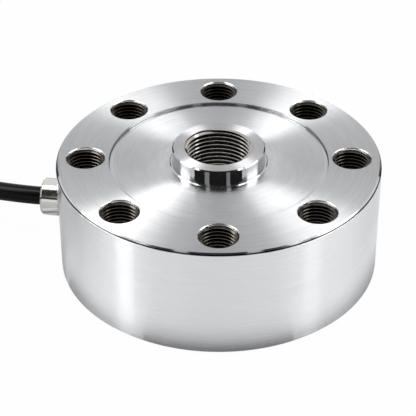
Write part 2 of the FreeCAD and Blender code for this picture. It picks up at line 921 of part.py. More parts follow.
def make_board():
    board = bound_box(
        "terminal_board",
        "board_width",
        "board_length",
        "board_thickness",
        ("-board_radius - board_width / 2", "-board_length / 2", "board_level"),
    )
    pad = bound_box(
        "board_adhesive_pad",
        "board_width - 2 * board_pad_margin",
        "board_length - 2 * board_pad_margin",
        "board_pad_thickness",
        (
            "-board_radius - board_width / 2 + board_pad_margin",
            "-board_length / 2 + board_pad_margin",
            "seat_level",
        ),
    )
    joints = []
    for place in solder_places():
        foot = V(-size.solder_radius, place, size.board_top)
        joints.append(
            Part.makeCone(size.solder_dia / 2, size.conductor_dia / 2, size.solder_height, foot)
        )
    solder = shaped_piece("solder_joints", Part.makeCompound(joints))
    pieces = [board, pad, solder]
    for name, side in (("zero_resistor", 1), ("span_resistor", -1)):
        resistor = turned_piece(
            name,
            [
                ("0", "-resistor_length / 2"),
                ("resistor_dia / 2", "-resistor_length / 2"),
                ("resistor_dia / 2", "-resistor_length / 2 + resistor_cap_length"),
                ("resistor_waist_dia / 2", "-resistor_length / 2 + resistor_cap_length"),
                ("resistor_waist_dia / 2", "resistor_length / 2 - resistor_cap_length"),
                ("resistor_dia / 2", "resistor_length / 2 - resistor_cap_length"),
                ("resistor_dia / 2", "resistor_length / 2"),
                ("0", "resistor_length / 2"),
            ],
        )
        aside = side * (size.resistor_length + size.resistor_gap) / 2
        rest = V(-size.resistor_radius, aside, size.board_top + size.resistor_dia / 2)
        resistor.Placement = FreeCAD.Placement(rest, FreeCAD.Rotation(V(1, 0, 0), 90))
        pieces.append(resistor)
    return pieces


def make_inner_leads():
    """The four conductors from the jacket, through the passage and down to the board."""
    leads = []
    places = sorted(range(len(CORE_COLOURS)), key=lambda index: CORE_PLACES[index][0])
    for place, index in zip(solder_places(), places):
        side, rise = CORE_PLACES[index]
        aside = side * size.conductor_spread
        above = rise * size.conductor_spread
        drop_from = V(-size.solder_radius, place, size.gland_level + above)
        route = [
            port_point(size.jacket_end, aside, above),
            port_point(size.pocket_outer - size.inner_lead_straight, aside, above),
            drop_from,
            V(-size.solder_radius, place, size.solder_top),
        ]
        lead = bent_wire(route, round_section(route, size.conductor_dia / 2))
        leads.append(shaped_piece("inner_lead_" + CORE_COLOURS[index], lead))
    return leads


def make_pieces():
    pieces = [make_load_element()]
    pieces.append(make_cover("bottom_cover", "seat_level", "-"))
    pieces.append(make_cover("top_cover", "top_seat_level", "+"))
    pieces += make_gland()
    pieces += [make_cable_run(), make_coil()]
    pieces += make_outer_leads()
    pieces += make_strain_gauges()
    pieces.append(make_gauge_leads())
    pieces += make_harness()
    pieces += make_board()
    pieces += make_inner_leads()
    return pieces


def write(pieces):
    for thing in doc.Objects:
        if "Invalid" in thing.State or "Error" in thing.State:
            raise RuntimeError(f"{thing.Name} is {thing.State}")
    for piece in pieces:
        if piece.Shape.isNull() or not piece.Shape.isValid():
            raise RuntimeError(f"{piece.Label} has no valid shape")
    os.makedirs("parts", exist_ok=True)
    for piece in pieces:
        piece.Shape.exportStep(f"parts/{piece.Label}.step")
        print(f"{piece.Label}: {len(piece.Shape.Solids)} solids, {piece.Shape.Volume:.2f} mm3")


pieces = make_pieces()
doc.recompute()
write(pieces)
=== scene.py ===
import math

import bpy
from mathutils import Matrix, Vector


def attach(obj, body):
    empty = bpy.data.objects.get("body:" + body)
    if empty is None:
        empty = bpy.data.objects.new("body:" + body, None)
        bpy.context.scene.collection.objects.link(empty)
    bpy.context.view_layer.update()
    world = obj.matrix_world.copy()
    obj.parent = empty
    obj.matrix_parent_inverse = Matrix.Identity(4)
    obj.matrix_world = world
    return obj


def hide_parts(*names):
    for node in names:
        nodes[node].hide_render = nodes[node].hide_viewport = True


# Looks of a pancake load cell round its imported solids. Metres, +Z up, the camera looks along +Y.

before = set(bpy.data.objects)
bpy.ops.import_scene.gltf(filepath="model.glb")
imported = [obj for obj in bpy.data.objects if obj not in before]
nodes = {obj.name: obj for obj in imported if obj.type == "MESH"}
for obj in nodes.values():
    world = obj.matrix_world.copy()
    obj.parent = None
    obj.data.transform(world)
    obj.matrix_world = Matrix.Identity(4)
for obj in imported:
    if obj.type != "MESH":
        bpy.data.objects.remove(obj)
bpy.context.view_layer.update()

bpy.context.scene.view_settings.view_transform = "Standard"

MM = 0.001

# Sizes of the solids, repeated for the zones, threads and cards
RING_RADIUS = 52.5 * MM
RIM_RADIUS = 51.72 * MM
RING_TOP = 38.0 * MM
RECESS_RADIUS = 35.5 * MM
HUB_RADIUS = 15.0 * MM
HUB_EDGE_RADIUS = 14.62 * MM
HUB_TOP = 42.5 * MM
HUB_FOOT = 0.5 * MM
HUB_MOUTH_RADIUS = 11.0 * MM
BOLT_CIRCLE = 43.0 * MM
BOLT_COUNT = 8
BOLT_MOUTH_RADIUS = 6.45 * MM
BOLT_DEPTH = 13.0 * MM
COVER_TOP = 37.0 * MM


# Camera, fitted to the photograph

IMAGE_SIZE = 416
SENSOR = 36.0
FOCAL_PIXELS = 1527.86
CAMERA_TARGET = Vector((0.0, 0.0, 20.0 * MM))
CAMERA_DISTANCE = 503.65 * MM
CAMERA_ELEVATION = math.radians(34.4222)
CAMERA_YAW = math.radians(0.3972)
CAMERA_PITCH = math.radians(-0.1449)
CAMERA_ROLL = math.radians(-0.1088)
CLIP_START = 0.01
CLIP_END = 20.0


def make_camera():
    back = Vector((0.0, -math.cos(CAMERA_ELEVATION), math.sin(CAMERA_ELEVATION)))
    right = Vector((1.0, 0.0, 0.0))
    forward = -back
    up = right.cross(forward)
    turn = Matrix.Rotation(CAMERA_YAW, 3, up)
    forward, right = turn @ forward, turn @ right
    turn = Matrix.Rotation(CAMERA_PITCH, 3, right)
    forward, up = turn @ forward, turn @ up
    turn = Matrix.Rotation(CAMERA_ROLL, 3, forward)
    right, up = turn @ right, turn @ up
    place = Matrix((right, up, -forward)).transposed().to_4x4()
    place.translation = CAMERA_TARGET + back * CAMERA_DISTANCE
    data = bpy.data.cameras.new("camera")
    data.sensor_width = SENSOR
    data.lens = FOCAL_PIXELS / IMAGE_SIZE * SENSOR
    data.clip_start = CLIP_START
    data.clip_end = CLIP_END
    camera = bpy.data.objects.new("camera", data)
    camera.matrix_world = place
    bpy.context.scene.collection.objects.link(camera)
    bpy.context.scene.camera = camera


make_camera()


# Cable, one smooth line from the gland to its stripped end

CABLE_DIAMETER = 6.2 * MM
CABLE_EXIT = (-58.574 * MM, 8.232 * MM, 17.6 * MM)
CABLE_ROUTE = [
    CABLE_EXIT,
    (-67.982 * MM, 9.554 * MM, 17.6 * MM),
    (-85.8 * MM, 16.0 * MM, 16.6 * MM),
    (-105.3 * MM, 23.9 * MM, 3.1 * MM),
    (-129.3 * MM, 23.9 * MM, 3.1 * MM),
]
COIL_CENTRE = (-153.8 * MM, -16.8 * MM)
COIL_RADII = (40.7 * MM, 34.5 * MM, 28.3 * MM)
COIL_LOW = 3.1 * MM
COIL_HIGH = 27.9 * MM
COIL_ENTRY_TURN = 90.0
COIL_CROSSING_TURN = 90.0
COIL_POINTS = 16
CABLE_END_HEIGHT = 34.45 * MM
CABLE_END_TURN = -70.0
CABLE_END_STRAIGHT = 4.0 * MM
CABLE_STEPS_ROUND = 6
CABLE_STEPS_ALONG = 6


def coil_stages():
    """The stages of the coil as turn, radius and height where each ends."""
    pitch_turn = 360.0 * (COIL_HIGH - COIL_LOW) / CABLE_DIAMETER
    outer, middle, inner = COIL_RADII
    turn = COIL_ENTRY_TURN
    stages = [(turn, outer, COIL_LOW)]
    turn += pitch_turn
    stages.append((turn, outer, COIL_HIGH))
    turn += COIL_CROSSING_TURN
    stages.append((turn, middle, COIL_HIGH))
    turn += pitch_turn
    stages.append((turn, middle, COIL_LOW))
    turn += COIL_CROSSING_TURN
    stages.append((turn, inner, COIL_LOW))
    rise = 360.0 * (CABLE_END_HEIGHT - COIL_LOW) / CABLE_DIAMETER
    last = CABLE_END_TURN + 360.0 * round((turn + rise - CABLE_END_TURN) / 360.0)
    stages.append((last, inner, CABLE_END_HEIGHT))
    return stages


def coil_point(turn, radius, height):
    angle = math.radians(turn)
    x, y = COIL_CENTRE
    return Vector((x + radius * math.cos(angle), y + radius * math.sin(angle), height))


def coil_points():
    """Control points round the turns, a little outside them, because the line cuts inside."""
    stand_out = 1.0 / math.cos(math.pi / COIL_POINTS)
    points = []
    stages = coil_stages()
    for (turn_a, radius_a, height_a), (turn_b, radius_b, height_b) in zip(stages, stages[1:]):
        steps = round((turn_b - turn_a) / 360.0 * COIL_POINTS)
        for step in range(steps):
            share = step / steps
            ease = share * share * (3.0 - 2.0 * share)
            points.append(
                coil_point(
                    turn_a + (turn_b - turn_a) * share,
                    (radius_a + (radius_b - radius_a) * ease) * stand_out,
                    height_a + (height_b - height_a) * share,
                )
            )
    points[0] = coil_point(*stages[0])
    turn, radius, height = stages[-1]
    end = coil_point(turn, radius, height)
    heading = Vector((-math.sin(math.radians(turn)), math.cos(math.radians(turn)), 0.0))
    return points + [end, end + heading * CABLE_END_STRAIGHT]


def make_cable():
    points = [Vector(point) for point in CABLE_ROUTE] + coil_points()
    curve = bpy.data.curves.new("cable", "CURVE")
    curve.dimensions = "3D"
    # The points' radius gives the thickness, so that the curve's own box is the cable's.
    curve.bevel_depth = 1.0
    curve.bevel_resolution = CABLE_STEPS_ROUND
    curve.resolution_u = CABLE_STEPS_ALONG
    curve.use_fill_caps = True
    spline = curve.splines.new("NURBS")
    spline.points.add(len(points) - 1)
    for place, point in zip(spline.points, points):
        place.co = (*point, 1.0)
        place.radius = CABLE_DIAMETER / 2
    spline.order_u = 3
    spline.use_endpoint_u = True
    cable = bpy.data.objects.new("cable", curve)
    bpy.context.scene.collection.objects.link(cable)
    return cable


cable = make_cable()
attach(cable, "root")
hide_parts("cable_run", "cable_coil")


# Material helpers

NOISE_LOW = 0.3
NOISE_HIGH = 0.7


class Nodes:
    """A material's node tree with short calls for the nodes used here."""

    def __init__(self, name):
        self.material = bpy.data.materials.new(name)
        self.material.use_nodes = True
        self.tree = self.material.node_tree
        self.shader = self.tree.nodes["Principled BSDF"]

    def add(self, kind, **settings):
        node = self.tree.nodes.new(kind)
        for key, value in settings.items():
            setattr(node, key, value)
        return node

    def link(self, source, target):
        self.tree.links.new(source, target)

    def math(self, operation, first, second=None):
        node = self.add("ShaderNodeMath", operation=operation)
        for socket, value in zip(node.inputs, (first, second)):
            if value is None:
                continue
            if isinstance(value, (int, float)):
                socket.default_value = value
            else:
                self.link(value, socket)
        return node.outputs[0]

    def place(self):
        return self.add("ShaderNodeTexCoord").outputs["Object"]

    def noise(self, scale, detail=3.0, vector=None):
        node = self.add("ShaderNodeTexNoise")
        node.inputs["Scale"].default_value = scale
        node.inputs["Detail"].default_value = detail
        self.link(vector or self.place(), node.inputs["Vector"])
        return node.outputs["Fac"]

    def spread(self, value, low, high):
        """Maps a noise from its usual range onto two limits."""
        node = self.add("ShaderNodeMapRange")
        node.inputs["From Min"].default_value = NOISE_LOW
        node.inputs["From Max"].default_value = NOISE_HIGH
        node.inputs["To Min"].default_value = low
        node.inputs["To Max"].default_value = high
        self.link(value, node.inputs["Value"])
        return node.outputs["Result"]

    def zoned(self, value, zones):
        """A level that changes from zone to zone.

        A zone is where the blend into it ends, the blend's width and the level.
        """
        level = zones[0][2]
        total = level
        for end, width, following in zones[1:]:
            node = self.add("ShaderNodeMapRange")
            node.inputs["From Min"].default_value = end - width
            node.inputs["From Max"].default_value = end
            node.inputs["To Min"].default_value = 0.0
            node.inputs["To Max"].default_value = following - level
            self.link(value, node.inputs["Value"])
            total = self.math("ADD", node.outputs["Result"], total)
            level = following
        return total

    def two_tone(self, value, dark, light, share=None):
        """A base colour between two tones, and if asked scaled by a lightness."""
        node = self.add("ShaderNodeValToRGB")
        node.color_ramp.elements[0].position = NOISE_LOW
        node.color_ramp.elements[0].color = (*dark, 1.0)
        node.color_ramp.elements[1].position = NOISE_HIGH
        node.color_ramp.elements[1].color = (*light, 1.0)
        self.link(value, node.inputs["Fac"])
        colour = node.outputs["Color"]
        if share:
            scale = self.add("ShaderNodeVectorMath", operation="SCALE")
            self.link(colour, scale.inputs[0])
            self.link(share, scale.inputs["Scale"])
            colour = scale.outputs[0]
        self.link(colour, self.shader.inputs["Base Color"])

    def bump(self, height, distance, strength=1.0):
        node = self.add("ShaderNodeBump")
        node.inputs["Distance"].default_value = distance
        node.inputs["Strength"].default_value = strength
        self.link(height, node.inputs["Height"])
        self.link(node.outputs["Normal"], self.shader.inputs["Normal"])

    def rough(self, value):
        self.link(value, self.shader.inputs["Roughness"])

    def set(self, **values):
        for key, value in values.items():
            self.shader.inputs[key.replace("_", " ")].default_value = value


def shaded(colour, share):
    return tuple(channel * share for channel in colour)


SHARP = 0.01 * MM
WALL_EDGE = RING_RADIUS - 0.05 * MM
WALL_CALM = 0.5
LINES_UP = 2.6
STREAKS_ROUND = 5.0
STREAKS_ACROSS = 4000.0
STREAK_DETAIL = 4.0
STREAK_ROUGHNESS = (0.88, 1.12)
STREAK_DEPTH = 0.0004 * MM
STREAK_BUMP = 0.5
ARCS_ROUND = 3.0
ARCS_ACROSS = 1300.0
ARC_DETAIL = 3.0
TURNED_TONES = (0.90, 1.10)
ALONG_THE_TURNING = 0.25


def turned_steel(name, colour, zones):
    """Turned steel with fine rings.

    A zone is its radius, the width of the blend into it, a roughness and a lightness; a lightness
    under 1 is painted shade and one over 1 painted sheen.
    """
    made = Nodes(name)
    split = made.add("ShaderNodeSeparateXYZ")
    made.link(made.place(), split.inputs[0])
    x, y, z = split.outputs
    squares = [made.math("MULTIPLY", side, side) for side in (x, y)]
    reach = made.math("SQRT", made.math("ADD", *squares))
    along = made.math("ADD", reach, made.math("MULTIPLY", z, LINES_UP))
    calm = made.zoned(reach, [(0.0, 0.0, 1.0), (WALL_EDGE, SHARP, WALL_CALM)])

    def ring_noise(scale_round, scale_across, detail):
        """A noise drawn out round the axis, and calmer on the ring's wall."""
        place = made.add("ShaderNodeCombineXYZ")
        for side, socket in zip((x, y), place.inputs):
            share = made.math("DIVIDE", side, reach)
            made.link(made.math("MULTIPLY", share, scale_round), socket)
        made.link(made.math("MULTIPLY", along, scale_across), place.inputs[2])
        cloud = made.noise(1.0, detail, place.outputs[0])
        swing = made.math("SUBTRACT", cloud, 0.5)
        return made.math("ADD", made.math("MULTIPLY", swing, calm), 0.5)

    streaks = ring_noise(STREAKS_ROUND, STREAKS_ACROSS, STREAK_DETAIL)
    rough = made.zoned(reach, [(radius, width, level) for radius, width, level, light in zones])
    # The zones' lightness scales the colour: painted shade and painted sheen
    light = made.zoned(reach, [(radius, width, light) for radius, width, level, light in zones])
    made.rough(made.math("MULTIPLY", rough, made.spread(streaks, *STREAK_ROUGHNESS)))
    made.bump(streaks, STREAK_DEPTH, STREAK_BUMP)
    arcs = ring_noise(ARCS_ROUND, ARCS_ACROSS, ARC_DETAIL)
    halves = [made.math("MULTIPLY", cloud, 0.5) for cloud in (streaks, arcs)]
    dark, bright = [shaded(colour, tone) for tone in TURNED_TONES]
    made.two_tone(made.math("ADD", *halves), dark, bright, light)
    tangent = made.add("ShaderNodeTangent", direction_type="RADIAL", axis="Z")
    made.link(tangent.outputs[0], made.shader.inputs["Tangent"])
    made.set(Metallic=1.0, Anisotropic=1.0, Anisotropic_Rotation=ALONG_THE_TURNING)
    return made.material


POLISH_GRAIN = 900.0
POLISH_DETAIL = 4.0
POLISH_CLOUDS = 120.0
POLISH_ROUGHNESS = (0.8, 1.2)
POLISH_DARK = 0.95
POLISH_DEPTH = 0.0003 * MM
POLISH_BUMP = 0.3


def polished_metal(name, colour, roughness, heights=None):
    """Smooth metal. A height is a level, the width of the blend into it and a lightness."""
    made = Nodes(name)
    cloud = made.noise(POLISH_GRAIN, POLISH_DETAIL)
    made.rough(made.spread(cloud, *[roughness * share for share in POLISH_ROUGHNESS]))
    light = None
    if heights:
        split = made.add("ShaderNodeSeparateXYZ")
        made.link(made.place(), split.inputs[0])
        light = made.zoned(split.outputs[2], heights)
    made.two_tone(made.noise(POLISH_CLOUDS), shaded(colour, POLISH_DARK), colour, light)
    made.bump(cloud, POLISH_DEPTH, POLISH_BUMP)
    made.set(Metallic=1.0)
    return made.material


CLOUDS_PER_GRAIN = 12.0
MOULDED_ROUGHNESS = (0.85, 1.15)
MOULDED_BUMP = 0.5


def moulded(name, colour, roughness, grain=2500.0, depth=0.01, contrast=0.1, shine=0.5):
    """Plastic, rubber or lacquer with a fine grain, its depth in millimetres."""
    made = Nodes(name)
    cloud = made.noise(grain)
    dark, bright = shaded(colour, 1.0 - contrast), shaded(colour, 1.0 + contrast)
    made.two_tone(made.noise(grain / CLOUDS_PER_GRAIN), dark, bright)
    made.rough(made.spread(cloud, *[roughness * share for share in MOULDED_ROUGHNESS]))
    made.bump(cloud, depth * MM, MOULDED_BUMP)
    made.set(Specular_IOR_Level=shine)
    return made.material


def dress(material, *pieces):
    """Gives pieces a material in the place of their own."""
    for piece in pieces:
        piece.data.materials.clear()
        piece.data.materials.append(material)


# Materials

STEEL = (0.595, 0.60, 0.612)
JACKET = (0.0022, 0.0022, 0.0027)
FACE_ROUGHNESS = 0.47
EDGE_ROUGHNESS = 0.14
WALL_ROUGHNESS = 0.26
HUB_WALL_ROUGHNESS = 0.09
# Painted shade: the hub's wall darker than the steel it is turned from
HUB_WALL_PAINTED_SHADE = 0.74
# Painted shade: a darker line at the recess edge
RECESS_EDGE_PAINTED_SHADE = 0.8
# Painted shade: a near-black line at the rim's outer edge
RIM_LINE_PAINTED_SHADE = 0.06
# Painted sheen: the ring's wall lighter than the steel it is turned from
WALL_PAINTED_SHEEN = 1.56
RECESS_EDGE_START = RECESS_RADIUS - 0.08 * MM
RECESS_EDGE_END = RECESS_RADIUS + 0.06 * MM
RIM_LINE_RADIUS = RIM_RADIUS + 0.38 * MM
# From the axis outwards: the hub's face and its wall in painted shade, the recess and its edge line
# of painted shade, then the ring's face, the rim's bright line and its dark line of painted shade,
# and the wall in painted sheen
ELEMENT_ZONES = [
    (0.0, 0.0, FACE_ROUGHNESS, 1.0),
    (HUB_EDGE_RADIUS, SHARP, HUB_WALL_ROUGHNESS, HUB_WALL_PAINTED_SHADE),
    (HUB_RADIUS + 0.1 * MM, SHARP, FACE_ROUGHNESS, 1.0),
    (RECESS_EDGE_START, SHARP, EDGE_ROUGHNESS, RECESS_EDGE_PAINTED_SHADE),
    (RECESS_EDGE_END, SHARP, FACE_ROUGHNESS, 1.0),
    (RIM_RADIUS, SHARP, EDGE_ROUGHNESS, 1.0),
    (RIM_LINE_RADIUS, SHARP, EDGE_ROUGHNESS, RIM_LINE_PAINTED_SHADE),
    (WALL_EDGE, SHARP, WALL_ROUGHNESS, WALL_PAINTED_SHEEN),
]
# Smoother near the hub and at the outer edge, and darker there as painted shade, with a little
# painted sheen on the face between
COVER_ZONES = [
    (0.0, 0.0, 0.13, 0.85),
    (20.0 * MM, 3.5 * MM, 0.38, 1.0),
    (26.0 * MM, 6.0 * MM, FACE_ROUGHNESS, 1.05),
    (34.6 * MM, 0.6 * MM, 0.2, 0.8),
]

element_steel = turned_steel("element_steel", STEEL, ELEMENT_ZONES)
cover_steel = turned_steel("cover_steel", STEEL, COVER_ZONES)
# Painted shade: the hub bore's thread darker than the steel, for the bore's dark inside
thread_shaded_steel = polished_metal("thread_shaded_steel", (0.44, 0.425, 0.40), 0.12)
# The bolt holes' thread is painted shade, far darker than the steel, and its first turns are darker
# still
HOLE_SHADE_HEIGHTS = [(0.0, 0.0, 1.0), (RING_TOP - 0.9 * MM, 0.2 * MM, 0.3)]
hole_shaded_steel = polished_metal("hole_shaded_steel", (0.075, 0.068, 0.057), 0.17, HOLE_SHADE_HEIGHTS)
mouth_steel = polished_metal("mouth_steel", (0.62, 0.62, 0.62), 0.24)
gland_metal = polished_metal("gland_metal", (0.68, 0.675, 0.655), 0.1)
# Painted shade: the gland's neck nearly black, for the dark gap between the nut and the ring
gland_neck_shade = polished_metal("gland_neck_shade", (0.10, 0.095, 0.085), 0.25)
cable_jacket = moulded(
    "cable_jacket", JACKET, 0.24, grain=1800.0, depth=0.004, contrast=0.2, shine=0.11
)

dress(element_steel, nodes["load_element"])
dress(cover_steel, nodes["top_cover"], nodes["bottom_cover"])
dress(gland_metal, nodes["gland_nut"])
dress(gland_neck_shade, nodes["gland_body"])
dress(cable_jacket, cable, nodes["cable_in_gland"])
# Painted shade: the washer nearly black, for the dark gap at the nut's foot
dress(moulded("washer", (0.035, 0.03, 0.026), 0.4), nodes["gland_washer"])
dress(moulded("seal_rubber", (0.02, 0.02, 0.02), 0.7), nodes["gland_seal"])
sleeve = moulded("sleeve", (0.02, 0.02, 0.021), 0.5, grain=1200.0, depth=0.02)
dress(sleeve, nodes["end_sleeve"])

LEADS = {
    "red": (0.55, 0.02, 0.02),
    "black": (0.015, 0.015, 0.015),
    "green": (0.02, 0.30, 0.06),
    "white": (0.80, 0.80, 0.77),
}
for lead, colour in LEADS.items():
    insulation = moulded("lead_" + lead, colour, 0.35)
    dress(insulation, nodes["outer_lead_" + lead], nodes["inner_lead_" + lead])

GAUGE_COUNT = 8
foil = moulded("gauge_foil", (0.62, 0.34, 0.08), 0.3, grain=6000.0, depth=0.004, contrast=0.25)
dress(foil, *[nodes[f"strain_gauge_{number}"] for number in range(1, GAUGE_COUNT + 1)])
ribbon = moulded("lead_ribbon", (0.50, 0.20, 0.06), 0.35, grain=3000.0, contrast=0.2)
dress(ribbon, nodes["gauge_leads"], nodes["harness_ring"], nodes["harness_tail"])
board = moulded("board", (0.02, 0.16, 0.06), 0.3, grain=1500.0, contrast=0.3)
dress(board, nodes["terminal_board"])
pad = moulded("board_pad", (0.40, 0.40, 0.38), 0.9, grain=900.0, depth=0.08, contrast=0.2)
dress(pad, nodes["board_adhesive_pad"])
dress(polished_metal("solder", (0.70, 0.70, 0.70), 0.2), nodes["solder_joints"])
resistor = moulded("resistor", (0.10, 0.24, 0.42), 0.3, grain=2000.0, contrast=0.2)
dress(resistor, nodes["zero_resistor"], nodes["span_resistor"])


# Threads

# Shares of the pitch: the crest, a flank and the root, and where each stretch starts
CREST_SHARE = 0.25
FLANK_SHARE = 0.3125
ROOT_SHARE = 1.0 - CREST_SHARE - 2.0 * FLANK_SHARE
CREST_END = CREST_SHARE
ROOT_START = CREST_END + FLANK_SHARE
ROOT_END = ROOT_START + ROOT_SHARE
PHASES = (0.0, CREST_END, ROOT_START, ROOT_END)
RUN_IN = 0.12
FLAT = 1e-7


def thread_reach(phase, crest, root):
    """The wall's radius at a share of the pitch: crest, flank, root and flank."""
    phase %= 1.0
    if phase < CREST_END:
        return crest
    if phase < ROOT_START:
        return crest + (root - crest) * (phase - CREST_END) / FLANK_SHARE
    if phase < ROOT_END:
        return root
    return root + (crest - root) * (phase - ROOT_END) / FLANK_SHARE


def mouth_reach(depth, mouth, root, crest):
    """The mouth's cone down to the root, then a steeper run-in to the crest."""
    if mouth - depth > root:
        return mouth - depth
    past = depth - (mouth - root)
    return max(root - past / RUN_IN, crest)


def thread_wall(centre, top, bottom, pitch, crest, root, mouth, open_foot, columns):
    """Vertices and faces of a threaded bore's wall, cut by its mouth's cone."""
    verts = []
    rows = []
    first = math.floor(bottom / pitch) - 2
    last = math.ceil(top / pitch) + 1
    for turn in range(first, last):
        for phase in PHASES:
            row = []
            for column in range(columns + 1):
                share = column / columns
                height = (turn + phase + share) * pitch
                height = min(max(height, bottom), top)
                reach = thread_reach(height / pitch - share, crest, root)
                reach = max(reach, mouth_reach(top - height, mouth, root, crest))
                if open_foot:
                    reach = max(reach, mouth_reach(height - bottom, mouth, root, crest))
                angle = share * 2.0 * math.pi
                row.append(len(verts))
                verts.append(
                    (
                        centre[0] + reach * math.cos(angle),
                        centre[1] + reach * math.sin(angle),
                        height,
                    )
                )
            rows.append(row)
    faces = []
    for low, high in zip(rows, rows[1:]):
        for column in range(columns):
            corners = [low[column], high[column], high[column + 1], low[column + 1]]
            heights = [verts[corner][2] for corner in corners]
            if max(heights) - min(heights) > FLAT:
                faces.append(corners)
    return verts, faces


def mesh_piece(name, verts, faces, material):
    mesh = bpy.data.meshes.new(name)
    mesh.from_pydata(verts, [], faces)
    mesh.validate()
    mesh.materials.append(material)
    piece = bpy.data.objects.new(name, mesh)
    bpy.context.scene.collection.objects.link(piece)
    return piece


LOAD_THREAD_PITCH = 1.5 * MM
LOAD_THREAD_CREST = 10.19 * MM
LOAD_THREAD_ROOT = 10.97 * MM
BOLT_THREAD_PITCH = 1.25 * MM
BOLT_THREAD_CREST = 5.32 * MM
BOLT_THREAD_ROOT = 5.97 * MM
MOUTH_CLEARANCE = 0.02 * MM
LOAD_COLUMNS = 128

verts, faces = thread_wall(
    (0.0, 0.0),
    HUB_TOP,
    HUB_FOOT,
    LOAD_THREAD_PITCH,
    LOAD_THREAD_CREST,
    LOAD_THREAD_ROOT,
    HUB_MOUTH_RADIUS - MOUTH_CLEARANCE,
    True,
    LOAD_COLUMNS,
)
load_thread = mesh_piece("load_thread_turns", verts, faces, thread_shaded_steel)
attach(load_thread, "root")


def mouth_cone(centre, top, mouth, foot, columns):
    """Vertices and faces of a hole's chamfer, from its mouth down to the radius of its foot."""
    verts = []
    for column in range(columns):
        angle = column * 2.0 * math.pi / columns
        for reach, height in ((mouth, top), (foot, top - (mouth - foot))):
            verts.append(
                (centre[0] + reach * math.cos(angle), centre[1] + reach * math.sin(angle), height)
            )
    count = len(verts)
    faces = [
        (2 * column, (2 * column + 2) % count, (2 * column + 3) % count, 2 * column + 1)
        for column in range(columns)
    ]
    return verts, faces


BOLT_COLUMNS = 96
BOLT_MOUTH = BOLT_MOUTH_RADIUS - MOUTH_CLEARANCE
BRIGHT_EDGE = 0.2 * MM

thread_verts = []
thread_faces = []
cone_verts = []
cone_faces = []
for hole in range(BOLT_COUNT):
    angle = hole * 2.0 * math.pi / BOLT_COUNT
    centre = (BOLT_CIRCLE * math.cos(angle), BOLT_CIRCLE * math.sin(angle))
    verts, faces = thread_wall(
        centre,
        RING_TOP - BRIGHT_EDGE,
        RING_TOP - BOLT_DEPTH,
        BOLT_THREAD_PITCH,
        BOLT_THREAD_CREST,
        BOLT_THREAD_ROOT,
        BOLT_MOUTH - BRIGHT_EDGE,
        False,
        BOLT_COLUMNS,
    )
    thread_faces += [[corner + len(thread_verts) for corner in face] for face in faces]
    thread_verts += verts
    verts, faces = mouth_cone(centre, RING_TOP, BOLT_MOUTH, BOLT_MOUTH - BRIGHT_EDGE, BOLT_COLUMNS)
    cone_faces += [[corner + len(cone_verts) for corner in face] for face in faces]
    cone_verts += verts
bolt_threads = mesh_piece("mounting_thread_turns", thread_verts, thread_faces, hole_shaded_steel)
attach(bolt_threads, "root")
bolt_mouths = mesh_piece("mounting_hole_mouths", cone_verts, cone_faces, mouth_steel)
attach(bolt_mouths, "root")


# Floor, light and the studio round the part

WHITE = (1.0, 1.0, 1.0)


def seen_as(tree, flags):
    """One where the ray is of any of the kinds named, and nought elsewhere."""
    path = tree.nodes.new("ShaderNodeLightPath")
    total = path.outputs[flags[0]]
    for flag in flags[1:]:
        either = tree.nodes.new("ShaderNodeMath")
        either.operation = "MAXIMUM"
        tree.links.new(total, either.inputs[0])
        tree.links.new(path.outputs[flag], either.inputs[1])
        total = either.outputs[0]
    return total


BACKDROP_RAYS = ["Is Camera Ray", "Is Glossy Ray", "Is Transmission Ray"]
DIRECT_RAYS = ["Is Camera Ray", "Is Transmission Ray"]
WORLD_LIGHT = 0.55


def make_world():
    world = bpy.data.worlds.new("studio")
    bpy.context.scene.world = world
    world.use_nodes = True
    tree = world.node_tree
    tree.nodes.clear()
    light = tree.nodes.new("ShaderNodeBackground")
    light.inputs["Color"].default_value = (*WHITE, 1.0)
    light.inputs["Strength"].default_value = WORLD_LIGHT
    shown = tree.nodes.new("ShaderNodeBackground")
    shown.inputs["Color"].default_value = (*WHITE, 1.0)
    shown.inputs["Strength"].default_value = 1.0
    mix = tree.nodes.new("ShaderNodeMixShader")
    output = tree.nodes.new("ShaderNodeOutputWorld")
    tree.links.new(seen_as(tree, BACKDROP_RAYS), mix.inputs[0])
    tree.links.new(light.outputs[0], mix.inputs[1])
    tree.links.new(shown.outputs[0], mix.inputs[2])
    tree.links.new(mix.outputs[0], output.inputs["Surface"])


make_world()

FLOOR_REACH = 4.0
FLOOR_GLOW = 0.98
FLOOR_GLOW_MIRRORED = 0.35
FLOOR_PAINT = (0.45, 0.45, 0.45)
FLOOR_DROP = 0.02 * MM


